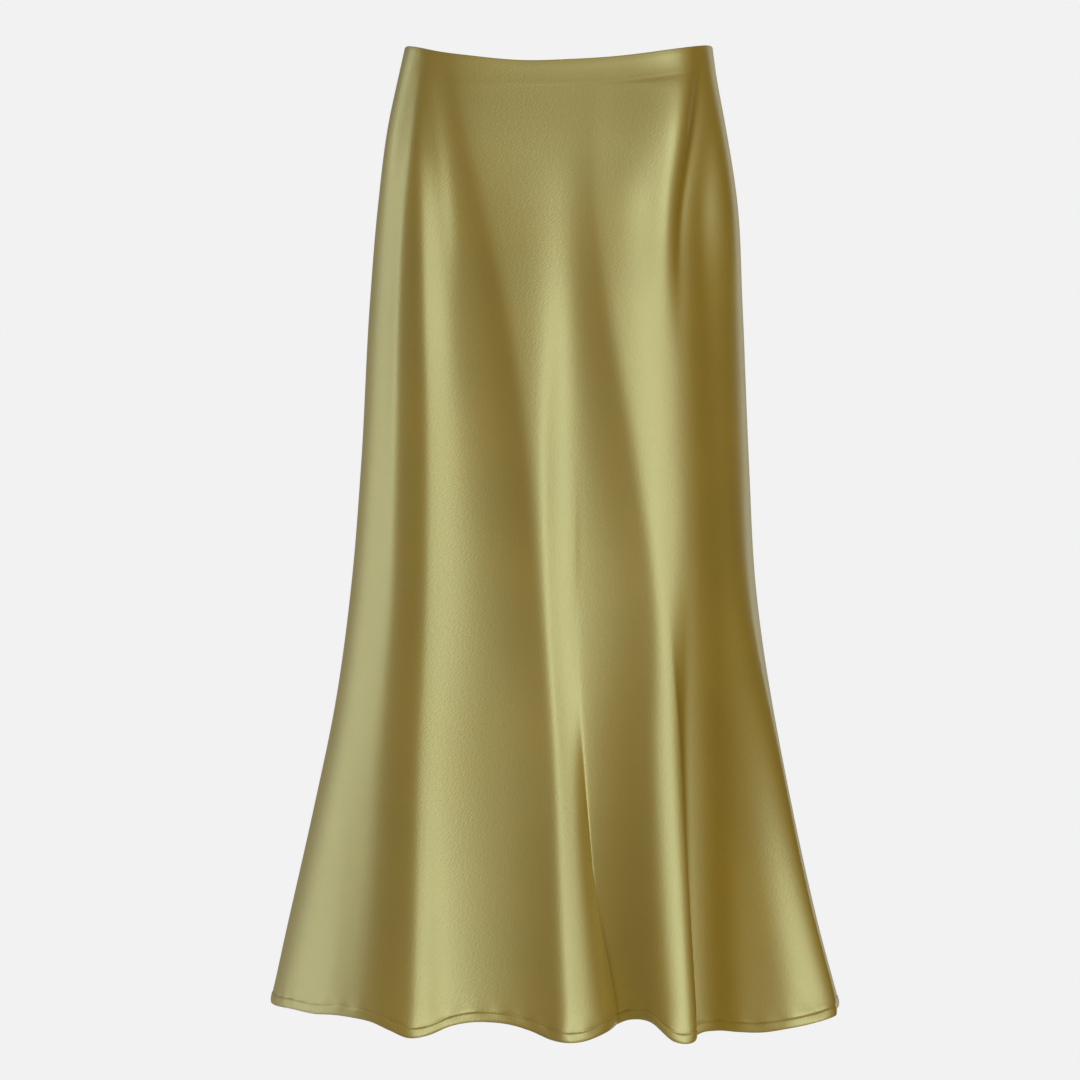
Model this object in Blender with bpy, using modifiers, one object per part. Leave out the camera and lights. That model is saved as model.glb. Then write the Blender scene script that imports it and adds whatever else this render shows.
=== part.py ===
"""Bias-cut maxi skirt: two bias panels joined at the side seams, hollow, hanging from the waist.

The origin is the middle of the waist opening. The front faces -Y, the skirt hangs down -Z, metres.
Every cloth piece is read from one surface, worked out from the sections and the folds below.
"""
import math
from collections import namedtuple

import bpy
import bmesh
import numpy as np

NAME = "bias_cut_maxi_skirt"
MM = 0.001

# Cloth and sewing
WALL = 1.5 * MM                # panel cloth, with the air in its weave
TURNED_WALL = 1.0 * MM         # facing and turned hem
SEAM_GAP = 0.3 * MM
FACING_DEPTH = 23 * MM
HEM_DEPTH = 8 * MM

# Length of the side seams, down from the waist
SIDE_LENGTH = 879 * MM

# Where the folds fade out
EDGE_SHARPNESS = 12            # how close to a side seam the folds still stand
WAIST_FADE = 45 * MM           # the waist edge is smooth, folds grow below it
WAIST_RELIEF = 0.25
RIGHT_RETURN = 4               # how late, across, the folds' heights return to the side seam
SPREAD_LEVELS = (0, 0.5, 1)

# Mesh
FRONT_COLUMNS = 92
BACK_COLUMNS = 50
ROWS = 22
COLUMN_RINGS = (0.6, 0.85, 1.0, 1.0)
FINE_STEPS = 400

# The hollow form without folds. Millimetres: how far below the waist, half widths to the left and
# right of the centre, depths to the front and back, and how square each side is (2 is an ellipse).
Section = namedtuple("Section", "below left right front back front_square back_square")
SECTIONS = (
    Section(0, 136, 143, 87, 71, 4.4, 2.3),
    Section(36, 144, 148, 85, 84, 4.6, 2.4),
    Section(73, 152, 155, 87, 97, 4.4, 2.5),
    Section(146, 162, 167, 93, 112, 3.4, 2.6),
    Section(238, 170, 172, 101, 119, 2.8, 2.7),
    Section(385, 178, 178, 108, 120, 2.7, 2.7),
    Section(496, 187, 184, 114, 124, 2.7, 2.7),
    Section(606, 202, 199, 125, 133, 2.6, 2.6),
    Section(698, 221, 217, 139, 146, 2.5, 2.5),
    Section(809, 246, 242, 158, 165, 2.4, 2.4),
    Section(885, 263, 262, 171, 178, 2.4, 2.4),
    Section(930, 275, 272, 178, 185, 2.4, 2.4),
)

# Each fold is a flank that rises and one that falls, left to right. For each flank: where it lies
# across the skirt and how far the cloth rises over it, at each level, and how far it spreads
# before its middle and after it, at the waist, halfway down and at the hem.
Flank = namedtuple("Flank", "name across rise before after")
FRONT_LEVELS = (27, 90, 152, 241, 375, 509, 643, 777, 866)
FRONT_FLANKS = (
    Flank("left_rise", (-122, -129, -136, -141, -143, -147, -159, -171, -177),
          (4, 7, 8, 9, 11, 14, 17, 25, 30), (8, 18, 42), (5, 9, 34)),
    Flank("left_fall", (-120, -118, -115, -112, -108, -108, -115, -117, -118),
          (0, -3, -10, -16, -17, -18, -20, -24, -25), (5, 7, 7), (4, 30, 46)),
    Flank("pleat_fall", (-113, -102, -97, -92, -88, -88, -88, -88, -88),
          (-1, -4, -5, 0, 0, 0, 0, 0, 0), (5, 6, 6), (6, 14, 14)),
    Flank("middle_rise", (-96, -86, -72, -52, -32, -22, -12, -12, -11),
          (1, 3, 4, 7, 9, 8, 6, 9, 11), (6, 26, 30), (6, 7, 7)),
    Flank("middle_fall", (4, 4, 4, 2, -5, -4, 5, 10, 13),
          (0, 0, -2, -8, -9, -8, -6, -3, 0), (30, 7, 6), (14, 26, 6)),
    Flank("valley_fall", (20, 20, 20, 20, 20, 20, 22, 31, 37),
          (0, 0, 0, 0, 0, 0, -3, -30, -46), (5, 5, 9), (5, 4, 4)),
    Flank("right_rise", (30, 30, 30, 38, 60, 79, 79, 79, 84),
          (0, 1, 3, 9, 12, 14, 20, 36, 48), (20, 26, 26), (5, 10, 7)),
    Flank("right_fall", (123, 114, 106, 107, 108, 111, 109, 112, 116),
          (-8, -14, -13, -3, 0, -1, -11, -23, -30), (12, 9, 8), (4, 4, 3)),
    Flank("edge_fall", (144, 137, 128, 130, 134, 139, 146, 151, 154),
          (0, -4, -11, -13, -14, -14, -15, -22, -25), (8, 20, 20), (12, 14, 20)),
    Flank("edge_rise", (190, 190, 190, 190, 190, 192, 205, 224, 236),
          (0, 0, 0, 0, 0, 2, 16, 30, 34), (10, 12, 16), (10, 12, 12)),
)
# Folds lean over the troughs beside them. For each: where its crest is and how far it leans, at
# each level, and how far the lean spreads before the crest and after it. Millimetres.
Lean = namedtuple("Lean", "name crest reach before after")
LEANS = (
    Lean("middle_fold", (20, 20, 20, 20, 20, 20, 19, 28, 33), (0, 0, 0, 0, 0, 0, 1, 5, 6), 12, 7),
    Lean("right_fold", (119, 109, 101, 98, 100, 100, 104, 107, 111), (2, 4, 3, 0, 0, 0, 4, 6, 7), 14, 7),
)
BACK_LEVELS = (40, 240, 509, 866)
BACK_FLANKS = (
    Flank("left_edge_fall", (-136, -154, -166, -206), (-3, -7, -11, -25), (9, 14, 20), (9, 14, 20)),
    Flank("left_rise", (-116, -124, -128, -152), (5, 9, 14, 30), (10, 14, 18), (10, 14, 18)),
    Flank("left_fall", (-82, -94, -101, -108), (-4, -9, -15, -32), (11, 14, 17), (11, 14, 17)),
    Flank("middle_left_rise", (-62, -52, -46, -50), (3, 10, 17, 38), (14, 16, 17), (14, 16, 17)),
    Flank("middle_fall", (-18, -8, -4, 4), (-1, -10, -17, -40), (15, 16, 16), (15, 16, 16)),
    Flank("middle_right_rise", (30, 40, 46, 58), (1, 9, 15, 37), (14, 15, 16), (14, 15, 16)),
    Flank("right_fall", (70, 80, 86, 104), (-4, -10, -15, -33), (13, 15, 17), (13, 15, 17)),
    Flank("right_rise", (106, 114, 122, 146), (5, 9, 13, 28), (10, 14, 18), (10, 14, 18)),
    Flank("right_edge_fall", (134, 149, 160, 204), (-3, -6, -9, -20), (9, 14, 20), (9, 14, 20)),
)

# The waist edge sags at the centre, and the hem is wavy: lower on the folds that stand out.
# Millimetres: where across the skirt, and how far below the waist, from seam to seam.
Edge = namedtuple("Edge", "across below")
WAIST_EDGES = {
    "front": (Edge(-138, 6), Edge(-122, 11), Edge(-103, 16), Edge(-71, 21), Edge(-28, 25), Edge(15, 24),
              Edge(58, 21), Edge(101, 15), Edge(123, 11), Edge(145, 6)),
    "back": (Edge(-138, 6), Edge(-100, 9), Edge(-40, 12), Edge(40, 12), Edge(100, 9), Edge(145, 6)),
}
HEM_EDGES = {
    "front": (Edge(-260, 875), Edge(-243, 873), Edge(-215, 873), Edge(-198, 871), Edge(-180, 871),
              Edge(-162, 873), Edge(-145, 879), Edge(-127, 885), Edge(-110, 883), Edge(-92, 876),
              Edge(-75, 873), Edge(-57, 873), Edge(-40, 875), Edge(-22, 880), Edge(-4, 887),
              Edge(20, 889), Edge(45, 882), Edge(66, 873), Edge(83, 874), Edge(101, 889),
              Edge(116, 891), Edge(130, 886), Edge(141, 886), Edge(161, 890), Edge(183, 892),
              Edge(205, 890), Edge(235, 884), Edge(259, 878)),
    "back": (Edge(-260, 875), Edge(-208, 881), Edge(-130, 892), Edge(-80, 884), Edge(-22, 894),
             Edge(31, 885), Edge(80, 893), Edge(125, 885), Edge(175, 891), Edge(259, 878)),
}

# Colours of the satin, and its finish
SATIN = (0.36, 0.29, 0.10, 1.0)
SATIN_INSIDE = (0.30, 0.24, 0.085, 1.0)
SATIN_ROUGHNESS = 0.42


def smooth_between(knots, values, at):
    """Read a table row at any height: a cubic through its values, with the slopes of its neighbours."""
    knots = np.asarray(knots, float)
    values = np.asarray(values, float)
    slopes = np.gradient(values, knots)
    at = np.clip(at, knots[0], knots[-1])
    right = np.clip(np.searchsorted(knots, at, side="right"), 1, len(knots) - 1)
    left = right - 1
    span = knots[right] - knots[left]
    t = (at - knots[left]) / span
    from_left = (1 + 2 * t) * (1 - t) ** 2 * values[left] + t * (1 - t) ** 2 * span * slopes[left]
    from_right = t * t * (3 - 2 * t) * values[right] - t * t * (1 - t) * span * slopes[right]
    return from_left + from_right


def section_value(column, below):
    """One column of the section table, at a depth below the waist."""
    knots = [row.below * MM for row in SECTIONS]
    return smooth_between(knots, [getattr(row, column) for row in SECTIONS], below)


def grown(flank, x, centre, down):
    """The share of a flank's rise that is behind x: 0 well before it, 1 well after it."""
    before = smooth_between(SPREAD_LEVELS, flank.before, down) * MM
    after = smooth_between(SPREAD_LEVELS, flank.after, down) * MM
    spread = np.where(x < centre, before, after)
    return (before + spread * np.tanh((x - centre) / spread)) / (before + after)


def relief(flanks, levels, x, left, right, below):
    """How far the folds stand out of the hollow form, at a place across it."""
    knots = [level * MM for level in levels]
    down = np.clip(below / SIDE_LENGTH, 0, 1)
    height = np.zeros_like(x)
    at_right = np.zeros_like(x)
    for flank in flanks:
        centre = smooth_between(knots, flank.across, below) * MM
        rise = smooth_between(knots, flank.rise, below) * MM
        height += rise * grown(flank, x, centre, down)
        at_right += rise
    share = (x + left) / (left + right)
    height -= at_right * np.clip(share, 0, 1) ** RIGHT_RETURN
    edge = np.abs(2 * share - 1)
    waist = WAIST_RELIEF + (1 - WAIST_RELIEF) * np.clip(below / WAIST_FADE, 0, 1)
    return height * (1 - edge ** EDGE_SHARPNESS) * waist


def lean(x, below):
    """How far the folds lean over the troughs beside them."""
    knots = [level * MM for level in FRONT_LEVELS]
    over = np.zeros_like(x)
    for fold in LEANS:
        crest = smooth_between(knots, fold.crest, below) * MM
        reach = smooth_between(knots, fold.reach, below) * MM
        away = (x - crest) / (np.where(x < crest, fold.before, fold.after) * MM)
        over += reach * np.exp(-away ** 2)
    return over


def ring(side, u, below):
    """A point of the skirt's outer face. u runs from -1 to 1 across one side, seam to seam."""
    left = section_value("left", below) * MM
    right = section_value("right", below) * MM
    depth = section_value(side, below) * MM
    power = section_value(side + "_square", below)
    across = np.sin(u * math.pi / 2)
    forward = np.cos(u * math.pi / 2)
    reach = (np.abs(across) ** power + np.abs(forward) ** power) ** (-1 / power)
    x = (right - left) / 2 + (right + left) / 2 * across * reach
    y = depth * forward * reach
    normal_x = np.sign(across) * np.abs(across * reach) ** (power - 1) / ((right + left) / 2)
    normal_y = np.abs(forward * reach) ** (power - 1) / depth
    length = np.hypot(normal_x, normal_y)
    flanks, levels = (FRONT_FLANKS, FRONT_LEVELS) if side == "front" else (BACK_FLANKS, BACK_LEVELS)
    height = relief(flanks, levels, x, left, right, below)
    x = x + height * normal_x / length
    y = y + height * normal_y / length
    if side == "back":
        return x, y
    return x + lean(x, below), -y


def edge_below(edge, x):
    """How far below the waist an edge of the cloth runs, at a place across the skirt."""
    return smooth_between([row.across * MM for row in edge], [row.below * MM for row in edge], x)


def surface(side, u, v):
    """The outer face: v runs from the waist edge, 0, to the hem, 1."""
    waist = edge_below(WAIST_EDGES[side], ring(side, u, np.zeros_like(u))[0])
    hem = edge_below(HEM_EDGES[side], ring(side, u, np.full_like(u, SIDE_LENGTH))[0])
    below = waist + v * (hem - waist)
    x, y = ring(side, u, below)
    y = y + (-SEAM_GAP / 2 if side == "front" else SEAM_GAP / 2)
    return np.stack([x, y, -below], axis=-1)


def even_columns(side, count):
    """Columns spaced evenly along the cloth, as a mean of the rings listed, which favour the flare."""
    fine = np.linspace(-1, 1, FINE_STEPS)
    length = np.zeros(FINE_STEPS)
    for v in COLUMN_RINGS:
        points = surface(side, fine, np.full_like(fine, v))
        steps = np.linalg.norm(np.diff(points, axis=0), axis=1)
        length[1:] += np.cumsum(steps) / steps.sum()
    return np.interp(np.linspace(0, length[-1], count), length, fine)


def rows():
    """Row heights, with one on the facing's lower edge and one on the hem's upper edge."""
    facing = FACING_DEPTH / SIDE_LENGTH
    hem = 1 - HEM_DEPTH / SIDE_LENGTH
    return np.concatenate([[0.0], np.linspace(facing, hem, ROWS), [1.0]])


def moved_in(grid, side, distance):
    """The grid moved inwards along its own normals."""
    along = np.gradient(grid, axis=1)
    down = np.gradient(grid, axis=0)
    normal = np.cross(down, along) if side == "front" else np.cross(along, down)
    normal /= np.linalg.norm(normal, axis=2, keepdims=True)
    return grid - normal * distance


def satin(name, colour):
    material = bpy.data.materials.new(name)
    material.use_nodes = True
    shader = material.node_tree.nodes["Principled BSDF"]
    shader.inputs["Base Color"].default_value = colour
    shader.inputs["Roughness"].default_value = SATIN_ROUGHNESS
    shader.inputs["Metallic"].default_value = 0.0
    material.diffuse_color = colour
    return material


def cloth_piece(name, grid, side, thickness, colour, collection):
    """One cut piece: an open grid of quads, thickened inwards."""
    mesh = bpy.data.meshes.new(name)
    build = bmesh.new()
    vertices = [[build.verts.new(point) for point in row] for row in grid.tolist()]
    for upper, lower in zip(vertices, vertices[1:]):
        for i in range(len(upper) - 1):
            corners = [upper[i], lower[i], lower[i + 1], upper[i + 1]]
            build.faces.new(corners if side == "front" else corners[::-1])
    build.to_mesh(mesh)
    build.free()
    mesh.shade_smooth()
    piece = bpy.data.objects.new(name, mesh)
    mesh.materials.append(satin(name + "_satin", colour))
    wall = piece.modifiers.new("wall", "SOLIDIFY")
    wall.thickness = thickness
    wall.offset = -1
    collection.objects.link(piece)
    return piece


def panel(side, columns, collection):
    u, v = np.meshgrid(columns, rows())
    cloth_piece(side + "_panel", surface(side, u, v), side, WALL, SATIN, collection)


def turned_strip(name, side, columns, strip_rows, collection):
    """A strip that lies on the panel's inner face, made from the panel's own points."""
    u, v = np.meshgrid(columns, rows())
    inside = moved_in(surface(side, u, v), side, WALL + SEAM_GAP)
    cloth_piece(name, inside[strip_rows], side, TURNED_WALL, SATIN_INSIDE, collection)


def main():
    for old in list(bpy.data.objects):
        bpy.data.objects.remove(old, do_unlink=True)
    collection = bpy.data.collections.new(NAME)
    bpy.context.scene.collection.children.link(collection)
    for side, count in (("front", FRONT_COLUMNS), ("back", BACK_COLUMNS)):
        columns = even_columns(side, count)
        panel(side, columns, collection)
        turned_strip(side + "_waist_facing", side, columns, slice(0, 2), collection)
        turned_strip(side + "_hem", side, columns, slice(-2, None), collection)


main()
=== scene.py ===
"""Bias-cut maxi skirt in olive-gold satin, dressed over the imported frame."""
import math
from collections import namedtuple

import bpy
import numpy as np
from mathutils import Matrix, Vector


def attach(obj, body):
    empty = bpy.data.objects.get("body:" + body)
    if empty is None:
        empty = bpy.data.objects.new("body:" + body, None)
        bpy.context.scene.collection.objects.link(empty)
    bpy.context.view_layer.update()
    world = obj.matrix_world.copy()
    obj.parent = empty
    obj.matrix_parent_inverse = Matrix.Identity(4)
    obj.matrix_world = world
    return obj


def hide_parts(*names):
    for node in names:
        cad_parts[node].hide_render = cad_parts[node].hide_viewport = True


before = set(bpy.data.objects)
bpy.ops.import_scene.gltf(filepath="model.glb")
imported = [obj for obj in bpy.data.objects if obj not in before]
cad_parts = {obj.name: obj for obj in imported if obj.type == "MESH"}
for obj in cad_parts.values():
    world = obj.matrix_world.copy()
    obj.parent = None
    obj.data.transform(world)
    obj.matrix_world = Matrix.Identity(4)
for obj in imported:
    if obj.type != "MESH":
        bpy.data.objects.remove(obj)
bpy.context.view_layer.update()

MM = 0.001

# ---------------------------------------------------------------------------------------------
# The skirt's form: a hollow of sections, the folds that stand out of it and the cloth's edges
# ---------------------------------------------------------------------------------------------
SIDE_LENGTH = 879 * MM         # waist to hem, at the sides
EDGE_SHARPNESS = 12            # the higher, the closer to the side seams the folds stay full
WAIST_FADE = 45 * MM           # the folds grow to their full depth over this
WAIST_RELIEF = 0.25            # their share of that depth at the waist edge
RIGHT_RETURN = 4               # the higher, the nearer the right seam their sum is taken back
SPREAD_LEVELS = (0, 0.5, 1)    # waist, halfway down, hem

# Millimetres: how far below the waist, half widths, depths, and how square each side of the
# ring is.
Section = namedtuple("Section", "below left right front back front_square back_square")
SECTIONS = (
    Section(0, 136, 143, 87, 71, 4.4, 2.3),
    Section(36, 144, 148, 85, 84, 4.6, 2.4),
    Section(73, 152, 155, 87, 97, 4.4, 2.5),
    Section(146, 162, 167, 93, 112, 3.4, 2.6),
    Section(238, 170, 172, 101, 119, 2.8, 2.7),
    Section(385, 178, 178, 108, 120, 2.7, 2.7),
    Section(496, 187, 184, 114, 124, 2.7, 2.7),
    Section(606, 202, 199, 125, 133, 2.6, 2.6),
    Section(698, 221, 217, 139, 146, 2.5, 2.5),
    Section(809, 246, 242, 158, 165, 2.4, 2.4),
    Section(885, 263, 262, 171, 178, 2.4, 2.4),
    Section(930, 275, 272, 178, 185, 2.4, 2.4),
)

# The folds are made of flanks, left to right. For each flank, in millimetres: where it lies
# across the skirt and how far the cloth rises over it, at each level, and how far it spreads
# before its middle and after it, at the waist, halfway down and at the hem.
Flank = namedtuple("Flank", "name across rise before after")
FRONT_LEVELS = (27, 90, 152, 241, 375, 509, 643, 777, 866)
FRONT_FLANKS = (
    Flank("left_rise", (-122, -129, -136, -141, -143, -147, -158, -164, -169),
          (4, 7, 8, 9, 11, 14, 17, 25, 30), (8, 18, 42), (5, 9, 32)),
    Flank("left_fall", (-120, -118, -115, -112, -108, -108, -113, -113, -113),
          (0, -3, -10, -16, -17, -18, -18, -20, -21), (5, 7, 7), (4, 30, 46)),
    Flank("pleat_fall", (-113, -102, -97, -92, -88, -100, -107, -105, -103),
          (-1, -2.2, -3, 0, 0, 0, -1, -2, -2), (6, 7, 6), (7, 10, 9)),
    Flank("middle_rise", (-96, -86, -72, -52, -32, -20, -9, -5, -2),
          (1, 3, 4, 7, 9, 8, 6, 9, 11), (6, 26, 30), (6, 7, 7)),
    Flank("middle_fall", (4, 4, 4, 2, -5, -4, 4, 9, 14),
          (0, 0, -4, -8, -9, -7, -7, -5, -4), (30, 7, 6), (14, 20, 10)),
    Flank("valley_fall", (20, 20, 20, 20, 20, 20, 22, 31, 41),
          (0, 0, 0, 0, 0, 0, -3.5, -26, -46), (5, 2, 13), (5, 2, 3)),
    Flank("centre_fall", (40, 40, 40, 52, 52, 52, 52, 52, 52),
          (-3, -4.6, -3.6, 0, 0, 0, 0, 0, 0), (50, 35, 35), (35, 28, 28)),
    Flank("right_rise", (30, 30, 30, 38, 60, 79, 77, 80, 85),
          (0, 1, 3, 9, 12, 14, 23, 36, 48), (20, 29, 40), (5, 10, 7)),
    Flank("right_fullness", (100, 92, 78, 80, 95, 95, 95, 95, 95),
          (0, -1, -5, -2, 0, 0, 0, 0, 0), (18, 18, 18), (14, 14, 14)),
    Flank("right_fall", (127, 118, 110, 107, 108, 111, 109, 112, 116),
          (-9, -17, -14, -3, 0, -1, -11, -23, -30), (10, 9, 8), (4, 4, 3)),
    Flank("crease_rise", (136, 125, 116, 112, 112, 112, 112, 112, 112),
          (0, 0.4, 0.2, 0, 0, 0, 0, 0, 0), (2, 2, 2), (8, 8, 8)),
    Flank("edge_fall", (142, 135, 131, 130, 134, 139, 146, 151, 154),
          (-2, -11, -16, -15, -14, -14, -15, -22, -25), (12, 20, 20), (10, 14, 20)),
    Flank("edge_rise", (190, 190, 190, 190, 190, 192, 206, 226, 240),
          (0, 0, 0, 0, 0, 3, 12, 20, 23), (10, 12, 16), (10, 9, 8)),
)
BACK_LEVELS = (40, 240, 509, 866)
BACK_FLANKS = (
    Flank("left_edge_fall", (-136, -154, -166, -206), (-3, -7, -11, -25),
          (9, 14, 20), (9, 14, 20)),
    Flank("left_rise", (-116, -124, -128, -152), (5, 9, 14, 30), (10, 14, 18), (10, 14, 18)),
    Flank("left_fall", (-82, -94, -101, -108), (-4, -9, -15, -32), (11, 14, 17), (11, 14, 17)),
    Flank("middle_left_rise", (-62, -52, -46, -50), (3, 10, 17, 38), (14, 16, 17), (14, 16, 17)),
    Flank("middle_fall", (-18, -8, -4, 4), (-1, -10, -17, -40), (15, 16, 16), (15, 16, 16)),
    Flank("middle_right_rise", (30, 40, 46, 58), (1, 9, 15, 37), (14, 15, 16), (14, 15, 16)),
    Flank("right_fall", (70, 80, 86, 104), (-4, -10, -15, -33), (13, 15, 17), (13, 15, 17)),
    Flank("right_rise", (106, 114, 122, 146), (5, 9, 13, 28), (10, 14, 18), (10, 14, 18)),
    Flank("right_edge_fall", (134, 149, 160, 204), (-3, -6, -9, -20),
          (9, 14, 20), (9, 14, 20)),
)

# Folds of the front lean over the troughs beside them. For each, in millimetres: where its crest
# is and how far it leans, at each level, and how far the lean spreads before the crest and after.
Lean = namedtuple("Lean", "name crest reach before after")
LEANS = (
    Lean("middle_fold", (20, 20, 20, 20, 20, 20, 20, 29, 40),
         (0, 0, 0, 0, 0, 0, 1, 8, 14), 16, 4.5),
    Lean("right_fold", (122, 115, 107, 101, 100, 100, 104, 107, 111),
         (0, 2, 2, 0, 0, 0, 6, 10, 11), 14, 5.5),
    Lean("right_edge", (150, 150, 150, 158, 164, 172, 193, 217, 239),
         (0, 0, 0, 0, 0, 2, 8, 11, 12), 20, 8),
)
# The same, for places where the front comes forward.
PUSHES = (
    Lean("left_corner", (-160, -160, -160, -160, -160, -170, -180, -188, -194),
         (0, 0, 0, 0, 0, 0, 0, 4, 9), 26, 70),
    Lean("right_corner", (150, 150, 150, 158, 164, 176, 197, 221, 242),
         (0, 0, 0, 0, 0, 2, 5, 7, 6), 20, 8),
)

# The edges of the cloth, seam to seam. Millimetres: where across, and how far below the waist.
Edge = namedtuple("Edge", "across below")
WAIST_EDGES = {
    "front": (Edge(-138, 6), Edge(-122, 11), Edge(-103, 16), Edge(-71, 21), Edge(-28, 25),
              Edge(15, 24), Edge(58, 21), Edge(101, 15), Edge(123, 11), Edge(145, 6)),
    "back": (Edge(-138, 6), Edge(-100, 9), Edge(-40, 12), Edge(40, 12), Edge(100, 9),
             Edge(145, 6)),
}
HEM_EDGES = {
    "front": (Edge(-260, 875), Edge(-243, 873), Edge(-215, 873), Edge(-198, 871),
              Edge(-180, 871), Edge(-162, 873), Edge(-145, 879), Edge(-127, 885),
              Edge(-110, 883), Edge(-92, 876), Edge(-75, 873), Edge(-57, 873), Edge(-40, 875),
              Edge(-22, 880), Edge(-4, 887), Edge(20, 889), Edge(45, 882), Edge(66, 873),
              Edge(83, 874), Edge(101, 889), Edge(116, 891), Edge(130, 886), Edge(141, 886),
              Edge(161, 890), Edge(183, 892), Edge(205, 890), Edge(235, 884), Edge(259, 878)),
    "back": (Edge(-260, 875), Edge(-208, 881), Edge(-130, 892), Edge(-80, 884), Edge(-22, 894),
             Edge(31, 885), Edge(80, 893), Edge(125, 885), Edge(175, 891), Edge(259, 878)),
}

# Cloth and sewing
CLOTH = 0.5 * MM               # satin, as a thin shell
SEAM_GAP = 0.1 * MM            # between the panels, at the side seams
SEAM_TURN = (0.5 * MM, 1.5 * MM, 4 * MM)   # the steps by which a side edge turns in
FACING_DEPTH = 23 * MM
FACING_MARK = 0.14 * MM        # the facing's edge, felt through the cloth
FACING_MARK_WIDTH = 1.5 * MM
FACING_FADE = 60 * MM          # the mark is fainter left of the middle
FACING_FAINTEST = 0.2          # its least share of that depth
ROLL = 0.9 * MM                # radius of the turned waist edge and of the hem's fold
ROLL_STEPS = 6
ROLL_RUN = 1.5 * MM            # how far a turned edge runs back inside
HEM_DEPTH = 8 * MM
HEM_SWELL = 0.5 * MM           # how far the turned hem's two layers stand out
HEM_GROOVE = 0.5 * MM          # how far the stitching pulls the cloth in
GROOVE_WIDTH = 1.1 * MM
PUCKER = 0.25 * MM             # ripples beside the stitching
PUCKER_WIDTH = 5 * MM
PUCKER_SPACING = 23 * MM
PUCKER_SWING = 2               # radians by which the ripples come early or late
PUCKER_DRIFT = 3               # spacings over which that changes by one radian
STITCH = 2.4 * MM              # from one hem stitch to the next
STITCH_LENGTH = 0.8 * STITCH
STITCH_MARGIN = 2 * STITCH     # left free at the side seams
STITCH_RINGS = ((0.4, 1.6), (1.0, 0), (0.4, 1.6))   # size and depth at its start, middle, end
STITCH_RISE = 0.6              # how far its middle stands out, in thread radii
THREAD = 0.22 * MM             # radius
THREAD_SIDES = 4

# Mesh
COLUMNS = {"front": 300, "back": 220}
COLUMN_RINGS = (0.1, 0.4, 0.7, 0.85, 1.0)   # the rings on which columns are spaced
BEND_WEIGHT = 25 * MM          # metres of cloth that one radian of bend counts as
FINE_STEPS = 1600
TOP_ROWS = 4
FACING_ROWS = 9                # close rows across the facing's edge
FACING_BAND = 5 * MM           # how far they reach above it and below it
ROWS = 118
HEM_ROWS = 14                  # close rows across the turned hem
HEM_BAND = 1.5                 # how far up they reach, in hem depths


def smooth_between(knots, values, at):
    """Read a table row at any height: a cubic through its values, sloped as its neighbours are."""
    knots = np.asarray(knots, float)
    values = np.asarray(values, float)
    slopes = np.gradient(values, knots)
    at = np.clip(at, knots[0], knots[-1])
    right = np.clip(np.searchsorted(knots, at, side="right"), 1, len(knots) - 1)
    left = right - 1
    span = knots[right] - knots[left]
    t = (at - knots[left]) / span
    from_left = ((1 + 2 * t) * (1 - t) ** 2 * values[left]
                 + t * (1 - t) ** 2 * span * slopes[left])
    from_right = t * t * (3 - 2 * t) * values[right] - t * t * (1 - t) * span * slopes[right]
    return from_left + from_right


def section_value(column, below):
    """One column of the section table, at a depth below the waist."""
    knots = [row.below * MM for row in SECTIONS]
    return smooth_between(knots, [getattr(row, column) for row in SECTIONS], below)


def grown(flank, x, centre, down):
    """The share of a flank's rise that is behind x: 0 well before it, 1 well after it."""
    before = smooth_between(SPREAD_LEVELS, flank.before, down) * MM
    after = smooth_between(SPREAD_LEVELS, flank.after, down) * MM
    spread = np.where(x < centre, before, after)
    return (before + spread * np.tanh((x - centre) / spread)) / (before + after)


def relief(flanks, levels, x, left, right, below):
    """How far the folds stand out of the hollow form, at a place across it."""
    knots = [level * MM for level in levels]
    down = np.clip(below / SIDE_LENGTH, 0, 1)
    height = np.zeros_like(x)
    at_right = np.zeros_like(x)
    for flank in flanks:
        centre = smooth_between(knots, flank.across, below) * MM
        rise = smooth_between(knots, flank.rise, below) * MM
        height += rise * grown(flank, x, centre, down)
        at_right += rise
    share = (x + left) / (left + right)
    height -= at_right * np.clip(share, 0, 1) ** RIGHT_RETURN
    edge = np.abs(2 * share - 1)
    waist = WAIST_RELIEF + (1 - WAIST_RELIEF) * np.clip(below / WAIST_FADE, 0, 1)
    return height * (1 - edge ** EDGE_SHARPNESS) * waist


def moved(places, x, below):
    """How far a table of leans or pushes moves the front, at a place across it."""
    knots = [level * MM for level in FRONT_LEVELS]
    over = np.zeros_like(x)
    for fold in places:
        crest = smooth_between(knots, fold.crest, below) * MM
        reach = smooth_between(knots, fold.reach, below) * MM
        away = (x - crest) / (np.where(x < crest, fold.before, fold.after) * MM)
        over += reach * np.exp(-away ** 2)
    return over


def ring(side, u, below):
    """A point of the skirt's outer face. u runs from -1 to 1 across one side, seam to seam."""
    left = section_value("left", below) * MM
    right = section_value("right", below) * MM
    depth = section_value(side, below) * MM
    power = section_value(side + "_square", below)
    across = np.sin(u * math.pi / 2)
    forward = np.cos(u * math.pi / 2)
    reach = (np.abs(across) ** power + np.abs(forward) ** power) ** (-1 / power)
    x = (right - left) / 2 + (right + left) / 2 * across * reach
    y = depth * forward * reach
    normal_x = (np.sign(across) * np.abs(across * reach) ** (power - 1)
                / ((right + left) / 2))
    normal_y = np.abs(forward * reach) ** (power - 1) / depth
    length = np.hypot(normal_x, normal_y)
    flanks, levels = ((FRONT_FLANKS, FRONT_LEVELS) if side == "front"
                      else (BACK_FLANKS, BACK_LEVELS))
    height = relief(flanks, levels, x, left, right, below)
    x = x + height * normal_x / length
    y = y + height * normal_y / length
    if side == "back":
        return x, y
    return x + moved(LEANS, x, below), -y - moved(PUSHES, x, below)


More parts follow.
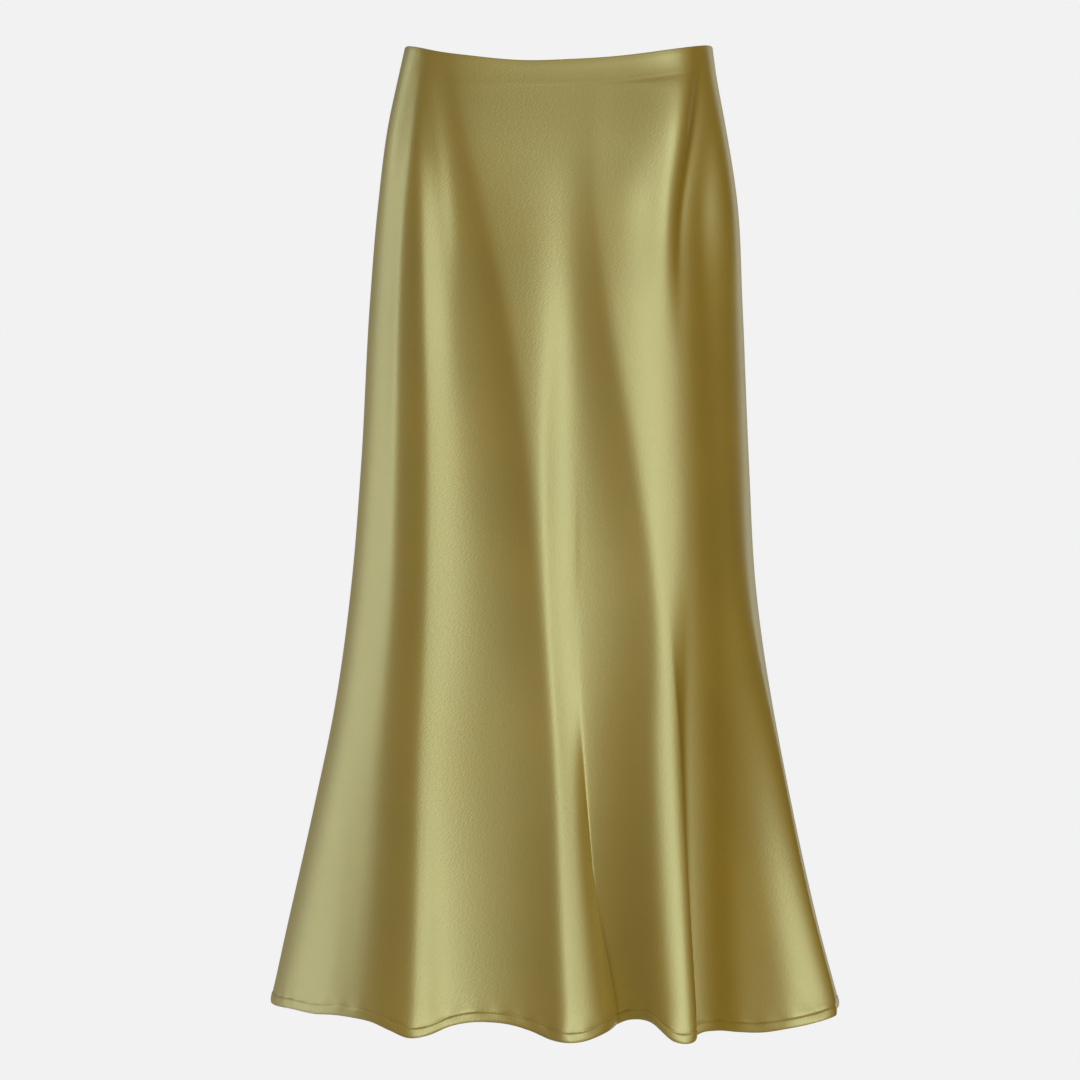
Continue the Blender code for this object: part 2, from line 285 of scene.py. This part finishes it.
def edge_below(edge, x):
    """How far below the waist an edge of the cloth runs, at a place across the skirt."""
    across = [row.across * MM for row in edge]
    return smooth_between(across, [row.below * MM for row in edge], x)


def surface(side, u, v):
    """The outer face: v runs from the waist edge, 0, to the hem, 1."""
    waist = edge_below(WAIST_EDGES[side], ring(side, u, np.zeros_like(u))[0])
    hem = edge_below(HEM_EDGES[side], ring(side, u, np.full_like(u, SIDE_LENGTH))[0])
    below = waist + v * (hem - waist)
    x, y = ring(side, u, below)
    y = y + (-SEAM_GAP / 2 if side == "front" else SEAM_GAP / 2)
    return np.stack([x, y, -below], axis=-1)


def even_columns(side, count):
    """Columns spaced along the cloth, closer where it bends, as a mean of several rings."""
    fine = np.linspace(-1, 1, FINE_STEPS)
    places = np.zeros(FINE_STEPS)
    for v in COLUMN_RINGS:
        steps = np.diff(surface(side, fine, np.full_like(fine, v)), axis=0)
        heading = np.unwrap(np.arctan2(steps[:, 1], steps[:, 0]))
        spaced = np.linalg.norm(steps, axis=1) + BEND_WEIGHT * np.abs(np.gradient(heading))
        places[1:] += np.cumsum(spaced) / spaced.sum()
    return np.interp(np.linspace(0, places[-1], count), places, fine)


def unit(vectors):
    """Vectors of length one."""
    return vectors / np.linalg.norm(vectors, axis=-1, keepdims=True)


def normals(grid, side):
    """Outward normals of a grid whose rows run down and whose columns run to the right."""
    along = np.gradient(grid, axis=1)
    down = np.gradient(grid, axis=0)
    outward = np.cross(down, along) if side == "front" else np.cross(along, down)
    return unit(outward)


# ---------------------------------------------------------------------------------------------
# Pieces
# ---------------------------------------------------------------------------------------------
def cloth_coordinates(grid):
    """Metres across and down the cloth, for the weave."""
    across = np.zeros(grid.shape[:2])
    across[:, 1:] = np.cumsum(np.linalg.norm(np.diff(grid, axis=1), axis=2), axis=1)
    middle = across.shape[1] // 2
    across -= across[:, middle:middle + 1]
    down = np.zeros(grid.shape[:2])
    down[1:, :] = np.cumsum(np.linalg.norm(np.diff(grid, axis=0), axis=2), axis=0)
    return np.stack([across, down], axis=-1)


def placed(name, mesh, material):
    """A smooth piece of one material, in the scene."""
    mesh.shade_smooth()
    mesh.materials.append(material)
    piece = bpy.data.objects.new(name, mesh)
    bpy.context.scene.collection.objects.link(piece)
    return piece


def cloth(name, grid, side, material):
    """A grid of points as a smooth sheet, thickened inwards."""
    high, wide = grid.shape[:2]
    index = np.arange(high * wide).reshape(high, wide)
    quads = np.stack([index[:-1, :-1], index[1:, :-1], index[1:, 1:], index[:-1, 1:]], axis=-1)
    if side == "back":
        quads = quads[..., ::-1]
    mesh = bpy.data.meshes.new(name)
    mesh.from_pydata(grid.reshape(-1, 3).tolist(), [], quads.reshape(-1, 4).tolist())
    layer = mesh.uv_layers.new(name="cloth")
    places = cloth_coordinates(grid).reshape(-1, 2)
    corner = np.empty(len(mesh.loops), int)
    mesh.loops.foreach_get("vertex_index", corner)
    layer.data.foreach_set("uv", places[corner].ravel())
    piece = placed(name, mesh, material)
    wall = piece.modifiers.new("cloth", "SOLIDIFY")
    wall.thickness = CLOTH
    wall.offset = -1
    return piece


def row_places():
    """Rows from the waist, 0, to the hem, 1: close ones across the facing's edge and the hem."""
    above = (FACING_DEPTH - FACING_BAND) / SIDE_LENGTH
    under = (FACING_DEPTH + FACING_BAND) / SIDE_LENGTH
    hem = 1 - HEM_BAND * HEM_DEPTH / SIDE_LENGTH
    stretches = ((0, above, TOP_ROWS), (above, under, FACING_ROWS), (under, hem, ROWS),
                 (hem, 1, HEM_ROWS + 1))
    return np.concatenate([np.linspace(*stretch)[:-1] for stretch in stretches] + [[1.0]])


def sewn(grid, outward):
    """Sink the stitch line, swell the turned hem and mark the facing's edge in a panel's grid."""
    places = cloth_coordinates(grid)
    across, down = places[..., 0], places[..., 1]
    from_hem = down[-1:] - down
    from_line = from_hem - HEM_DEPTH
    swing = PUCKER_SWING * np.sin(across / (PUCKER_DRIFT * PUCKER_SPACING))
    wave = np.sin(2 * math.pi * across / PUCKER_SPACING + swing)
    height = (HEM_SWELL * np.clip(-from_line / GROOVE_WIDTH, 0, 1)
              * np.clip(from_hem / GROOVE_WIDTH, 0, 1))
    height -= HEM_GROOVE * np.exp(-(from_line / GROOVE_WIDTH) ** 2)
    height += PUCKER * wave * np.exp(-(from_line / PUCKER_WIDTH) ** 2)
    uneven = np.clip((across + FACING_FADE) / (2 * FACING_FADE), FACING_FAINTEST, 1)
    height -= FACING_MARK * uneven * np.exp(-((down - FACING_DEPTH) / FACING_MARK_WIDTH) ** 2)
    return grid + outward * height[..., None]


def turned_edge(edge, outward, down):
    """Rows that roll an edge inwards and run back along the inside. down points off the cloth."""
    rows = []
    for angle in np.linspace(0, math.pi, ROLL_STEPS + 1)[1:]:
        rows.append(edge - outward * ROLL * (1 - math.cos(angle)) + down * ROLL * math.sin(angle))
    rows.append(rows[-1] - down * ROLL_RUN)
    return np.array(rows)


def seam(grid, column):
    """Columns that turn a side edge of a panel inwards, as its seam allowance."""
    inwards = np.array([1.0 if column == 0 else -1.0, 0, 0])
    return np.stack([grid[:, column] + inwards * depth for depth in SEAM_TURN], axis=1)


def panel(side, material):
    """One panel, its edges turned inwards. Returns the piece, and its grid before the sewing."""
    u, v = np.meshgrid(even_columns(side, COLUMNS[side]), row_places())
    grid = surface(side, u, v)
    outward = normals(grid, side)
    up = unit(grid[0] - grid[1])
    down = unit(grid[-1] - grid[-2])
    outer = sewn(grid, outward)
    waist = turned_edge(grid[0], outward[0], up)
    hem = turned_edge(grid[-1], outward[-1], down)
    whole = np.concatenate([waist[::-1], outer, hem])
    whole = np.concatenate([seam(whole, 0)[:, ::-1], whole, seam(whole, -1)], axis=1)
    return cloth(side + "_satin", whole, side, material), grid


def strip(name, side, grid, outward, material):
    """A strip on the inside of the cloth, against the turned edge."""
    return cloth(name, grid - outward * (2 * ROLL), side, material)


def stitch_line(grid, outward):
    """The line along the top of the turned hem: a point and its outward normal at each column."""
    places = cloth_coordinates(grid)
    from_hem = places[-1:, :, 1] - places[..., 1]
    line = []
    for column in range(grid.shape[1]):
        fall = from_hem[::-1, column]
        line.append([np.interp(HEM_DEPTH, fall, values[::-1, column, axis])
                     for values in (grid, outward) for axis in range(3)])
    return np.array(line)


def stitching(side, grid, outward, material):
    """One thread's stitches along the top of the turned hem, on the outside."""
    line = stitch_line(grid, outward)
    lengths = np.linalg.norm(np.diff(line[:, :3], axis=0), axis=1)
    along = np.concatenate([[0], np.cumsum(lengths)])
    verts, faces = [], []
    for start in np.arange(STITCH_MARGIN, along[-1] - STITCH_MARGIN, STITCH):
        places = [np.array([np.interp(at, along, line[:, axis]) for axis in range(6)])
                  for at in (start, start + STITCH_LENGTH / 2, start + STITCH_LENGTH)]
        forward = unit(places[2][:3] - places[0][:3])
        first = len(verts)
        for place, (size, sunk) in zip(places, STITCH_RINGS):
            out = unit(place[3:])
            side_way = np.cross(out, forward)
            centre = place[:3] + out * (THREAD * (STITCH_RISE - sunk) - HEM_GROOVE)
            for turn in range(THREAD_SIDES):
                angle = turn * 2 * math.pi / THREAD_SIDES
                round_it = out * math.cos(angle) + side_way * math.sin(angle)
                verts.append(centre + THREAD * size * round_it)
        for lower in (first, first + THREAD_SIDES):
            upper = lower + THREAD_SIDES
            for turn in range(THREAD_SIDES):
                after = (turn + 1) % THREAD_SIDES
                faces.append((lower + turn, lower + after, upper + after, upper + turn))
        last = first + 2 * THREAD_SIDES
        faces.append((first, *range(first + THREAD_SIDES - 1, first, -1)))
        faces.append(tuple(range(last, last + THREAD_SIDES)))
    mesh = bpy.data.meshes.new(side + "_hem_stitching")
    mesh.from_pydata([tuple(vert) for vert in verts], [], faces)
    return placed(side + "_hem_stitching", mesh, material)


# ---------------------------------------------------------------------------------------------
# Materials
# ---------------------------------------------------------------------------------------------
Satin = namedtuple("Satin", "name base tint roughness")
FACE = Satin("satin_face", (0.215, 0.130, 0.010), (0.86, 1.0, 0.56, 1), 0.46)
REVERSE = Satin("satin_reverse", (0.20, 0.125, 0.02), (0.65, 0.75, 0.35, 1), 0.6)
SATIN_IOR = 2.2
BIAS = 45                      # degrees from the grain of the weave to the way the skirt hangs
FLOAT_SIZE = (1.2 * MM, 4 * MM, 1)   # width and length of the weave's floats
FLOAT_DETAIL = 2.0
FLOAT_HEIGHT = 0.6 * MM
FLOAT_STRENGTH = 0.25
SHADE_SCALE = 9.0              # soft unevenness of the dye
SHADE_DETAIL = 3.0
SHADE_STOPS = ((0.3, 0.92), (0.7, 1.06))   # places on the noise, and shares of the base colour
THREAD_ROUGHNESS = 0.6
THREAD_TWIST = 900.0
THREAD_COLOURS = ((0.07, 0.045, 0.008, 1), (0.12, 0.08, 0.016, 1))


def node_material(name, roughness):
    """A new node material. Returns it, its nodes and its shader."""
    material = bpy.data.materials.new(name)
    material.use_nodes = True
    nodes = material.node_tree.nodes
    shader = nodes["Principled BSDF"]
    shader.inputs["Roughness"].default_value = roughness
    return material, nodes, shader


def noise(nodes, scale, detail=None):
    """A noise node."""
    node = nodes.new("ShaderNodeTexNoise")
    node.inputs["Scale"].default_value = scale
    if detail is not None:
        node.inputs["Detail"].default_value = detail
    return node


def thread():
    """Twisted sewing thread, darker than the satin."""
    material, nodes, shader = node_material("olive_thread", THREAD_ROUGHNESS)
    links = material.node_tree.links
    places = nodes.new("ShaderNodeTexCoord")
    twist = noise(nodes, THREAD_TWIST)
    ramp = nodes.new("ShaderNodeValToRGB")
    for element, colour in zip(ramp.color_ramp.elements, THREAD_COLOURS):
        element.color = colour
    links.new(places.outputs["Object"], twist.inputs["Vector"])
    links.new(twist.outputs["Fac"], ramp.inputs["Fac"])
    links.new(ramp.outputs["Color"], shader.inputs["Base Color"])
    return material


def satin(look):
    """Bias-cut satin: diagonal floats as fine relief, a slightly uneven dye and a tinted sheen."""
    material, nodes, shader = node_material(look.name, look.roughness)
    links = material.node_tree.links
    shader.inputs["IOR"].default_value = SATIN_IOR
    shader.inputs["Specular Tint"].default_value = look.tint
    places = nodes.new("ShaderNodeTexCoord")
    weave = nodes.new("ShaderNodeMapping")
    weave.vector_type = "TEXTURE"
    weave.inputs["Rotation"].default_value = (0, 0, math.radians(BIAS))
    weave.inputs["Scale"].default_value = FLOAT_SIZE
    floats = noise(nodes, 1.0, FLOAT_DETAIL)
    bump = nodes.new("ShaderNodeBump")
    bump.inputs["Strength"].default_value = FLOAT_STRENGTH
    bump.inputs["Distance"].default_value = FLOAT_HEIGHT
    links.new(places.outputs["UV"], weave.inputs["Vector"])
    links.new(weave.outputs["Vector"], floats.inputs["Vector"])
    links.new(floats.outputs["Fac"], bump.inputs["Height"])
    links.new(bump.outputs["Normal"], shader.inputs["Normal"])
    shade = noise(nodes, SHADE_SCALE, SHADE_DETAIL)
    ramp = nodes.new("ShaderNodeValToRGB")
    for element, (position, share) in zip(ramp.color_ramp.elements, SHADE_STOPS):
        element.position = position
        element.color = [channel * share for channel in look.base] + [1]
    links.new(places.outputs["Object"], shade.inputs["Vector"])
    links.new(shade.outputs["Fac"], ramp.inputs["Fac"])
    links.new(ramp.outputs["Color"], shader.inputs["Base Color"])
    return material


# ---------------------------------------------------------------------------------------------
# Camera, light and floor
# ---------------------------------------------------------------------------------------------
CAMERA_PLACE = (-0.0138, -3.3, -0.4541)
SENSOR = 36                    # millimetres
PHOTO_WIDTH = 1080             # pixels
PHOTO_FOCAL = 3587             # the photo's focal length, in pixels
MIDDLE = (0, 0, -0.45)

# Softboxes round the skirt: degrees to the right of its front, metres and watts.
Softbox = namedtuple("Softbox", "name azimuth distance wide tall power colour")
SOFTBOXES = (
    Softbox("key", 21, 3.2, 0.7, 3.6, 97, (1, 1, 1)),
    Softbox("left_side", -106, 2.4, 0.8, 3.2, 38, (1.0, 0.98, 0.88)),
    Softbox("right_rear", 137, 2.4, 1.0, 3.2, 16, (1, 1, 1)),
)
SOFTBOX_HEIGHT = -0.4
FLAG_PLACE = (1.4, 0.1, -0.45)
FLAG_SIZE = (3.2, 1.3, 1)
FLAG_COLOUR = (0.005, 0.005, 0.005, 1)
ROOM_COLOUR = (1.0, 0.99, 0.95, 1)
ROOM_STRENGTH = 0.27
PAPER_COLOUR = (0.888, 0.888, 0.888, 1)
SWEEP_RADIUS = 12


def camera():
    """The photo's view: level, from the front."""
    data = bpy.data.cameras.new("camera")
    data.lens = PHOTO_FOCAL / PHOTO_WIDTH * SENSOR
    data.sensor_width = SENSOR
    view = bpy.data.objects.new("camera", data)
    view.location = CAMERA_PLACE
    view.rotation_euler = (math.radians(90), 0, 0)
    bpy.context.scene.collection.objects.link(view)
    bpy.context.scene.camera = view


def softbox(box):
    """A soft rectangular light, aimed at the middle of the skirt."""
    data = bpy.data.lights.new(box.name, "AREA")
    data.shape = "RECTANGLE"
    data.size, data.size_y = box.wide, box.tall
    data.energy = box.power
    data.color = box.colour
    light = bpy.data.objects.new(box.name, data)
    angle = math.radians(box.azimuth)
    place = (box.distance * math.sin(angle), -box.distance * math.cos(angle), SOFTBOX_HEIGHT)
    light.location = place
    aim = Vector(MIDDLE) - Vector(place)
    light.rotation_euler = aim.to_track_quat("-Z", "Y").to_euler()
    bpy.context.scene.collection.objects.link(light)


def flag():
    """A black panel on the right that keeps stray light off that side."""
    bpy.ops.mesh.primitive_plane_add(size=1, location=FLAG_PLACE,
                                     rotation=(0, math.radians(90), 0))
    card = bpy.context.object
    card.name = "flag"
    card.scale = FLAG_SIZE
    material, _, shader = node_material("black_paper", 1.0)
    shader.inputs["Base Color"].default_value = FLAG_COLOUR
    card.data.materials.append(material)
    card.visible_camera = False


def studio():
    """The lights, the flag and the room's own light."""
    for box in SOFTBOXES:
        softbox(box)
    flag()
    world = bpy.data.worlds.new("studio")
    world.use_nodes = True
    background = world.node_tree.nodes["Background"]
    background.inputs["Color"].default_value = ROOM_COLOUR
    background.inputs["Strength"].default_value = ROOM_STRENGTH
    bpy.context.scene.world = world
    bpy.context.scene.view_settings.view_transform = "Standard"
    bpy.context.scene.view_settings.look = "None"


def floor():
    """A pale sweep all round, seen but giving no light."""
    bpy.ops.mesh.primitive_uv_sphere_add(segments=64, ring_count=32, radius=SWEEP_RADIUS,
                                         location=MIDDLE)
    sweep = bpy.context.object
    sweep.name = "floor"
    material = bpy.data.materials.new("pale_paper")
    material.use_nodes = True
    nodes = material.node_tree.nodes
    nodes.remove(nodes["Principled BSDF"])
    glow = nodes.new("ShaderNodeEmission")
    glow.inputs["Color"].default_value = PAPER_COLOUR
    material.node_tree.links.new(glow.outputs["Emission"],
                                 nodes["Material Output"].inputs["Surface"])
    sweep.data.materials.append(material)
    sweep.visible_diffuse = False
    sweep.visible_glossy = False
    sweep.visible_shadow = False


def side_pieces(side, face, reverse, sewing):
    """One side's panel, facing, hem and stitches, and what each of them stands for."""
    piece, grid = panel(side, face)
    outward = normals(grid, side)
    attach(piece, "root")
    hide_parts(side + "_panel")
    rows = row_places()
    upper = rows < FACING_DEPTH / SIDE_LENGTH
    facing = strip(side + "_waist_facing_satin", side, grid[upper], outward[upper], reverse)
    lower = rows > 1 - HEM_DEPTH / SIDE_LENGTH
    hem = strip(side + "_hem_satin", side, grid[lower], outward[lower], reverse)
    for turned, node in ((facing, side + "_waist_facing"), (hem, side + "_hem")):
        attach(turned, "root")
        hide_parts(node)
    stitches = stitching(side, grid, outward, sewing)
    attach(stitches, "root")


def main():
    """Build the skirt and its studio."""
    face, sewing, reverse = satin(FACE), thread(), satin(REVERSE)
    for side in ("front", "back"):
        side_pieces(side, face, reverse, sewing)
    camera()
    studio()
    floor()


main()
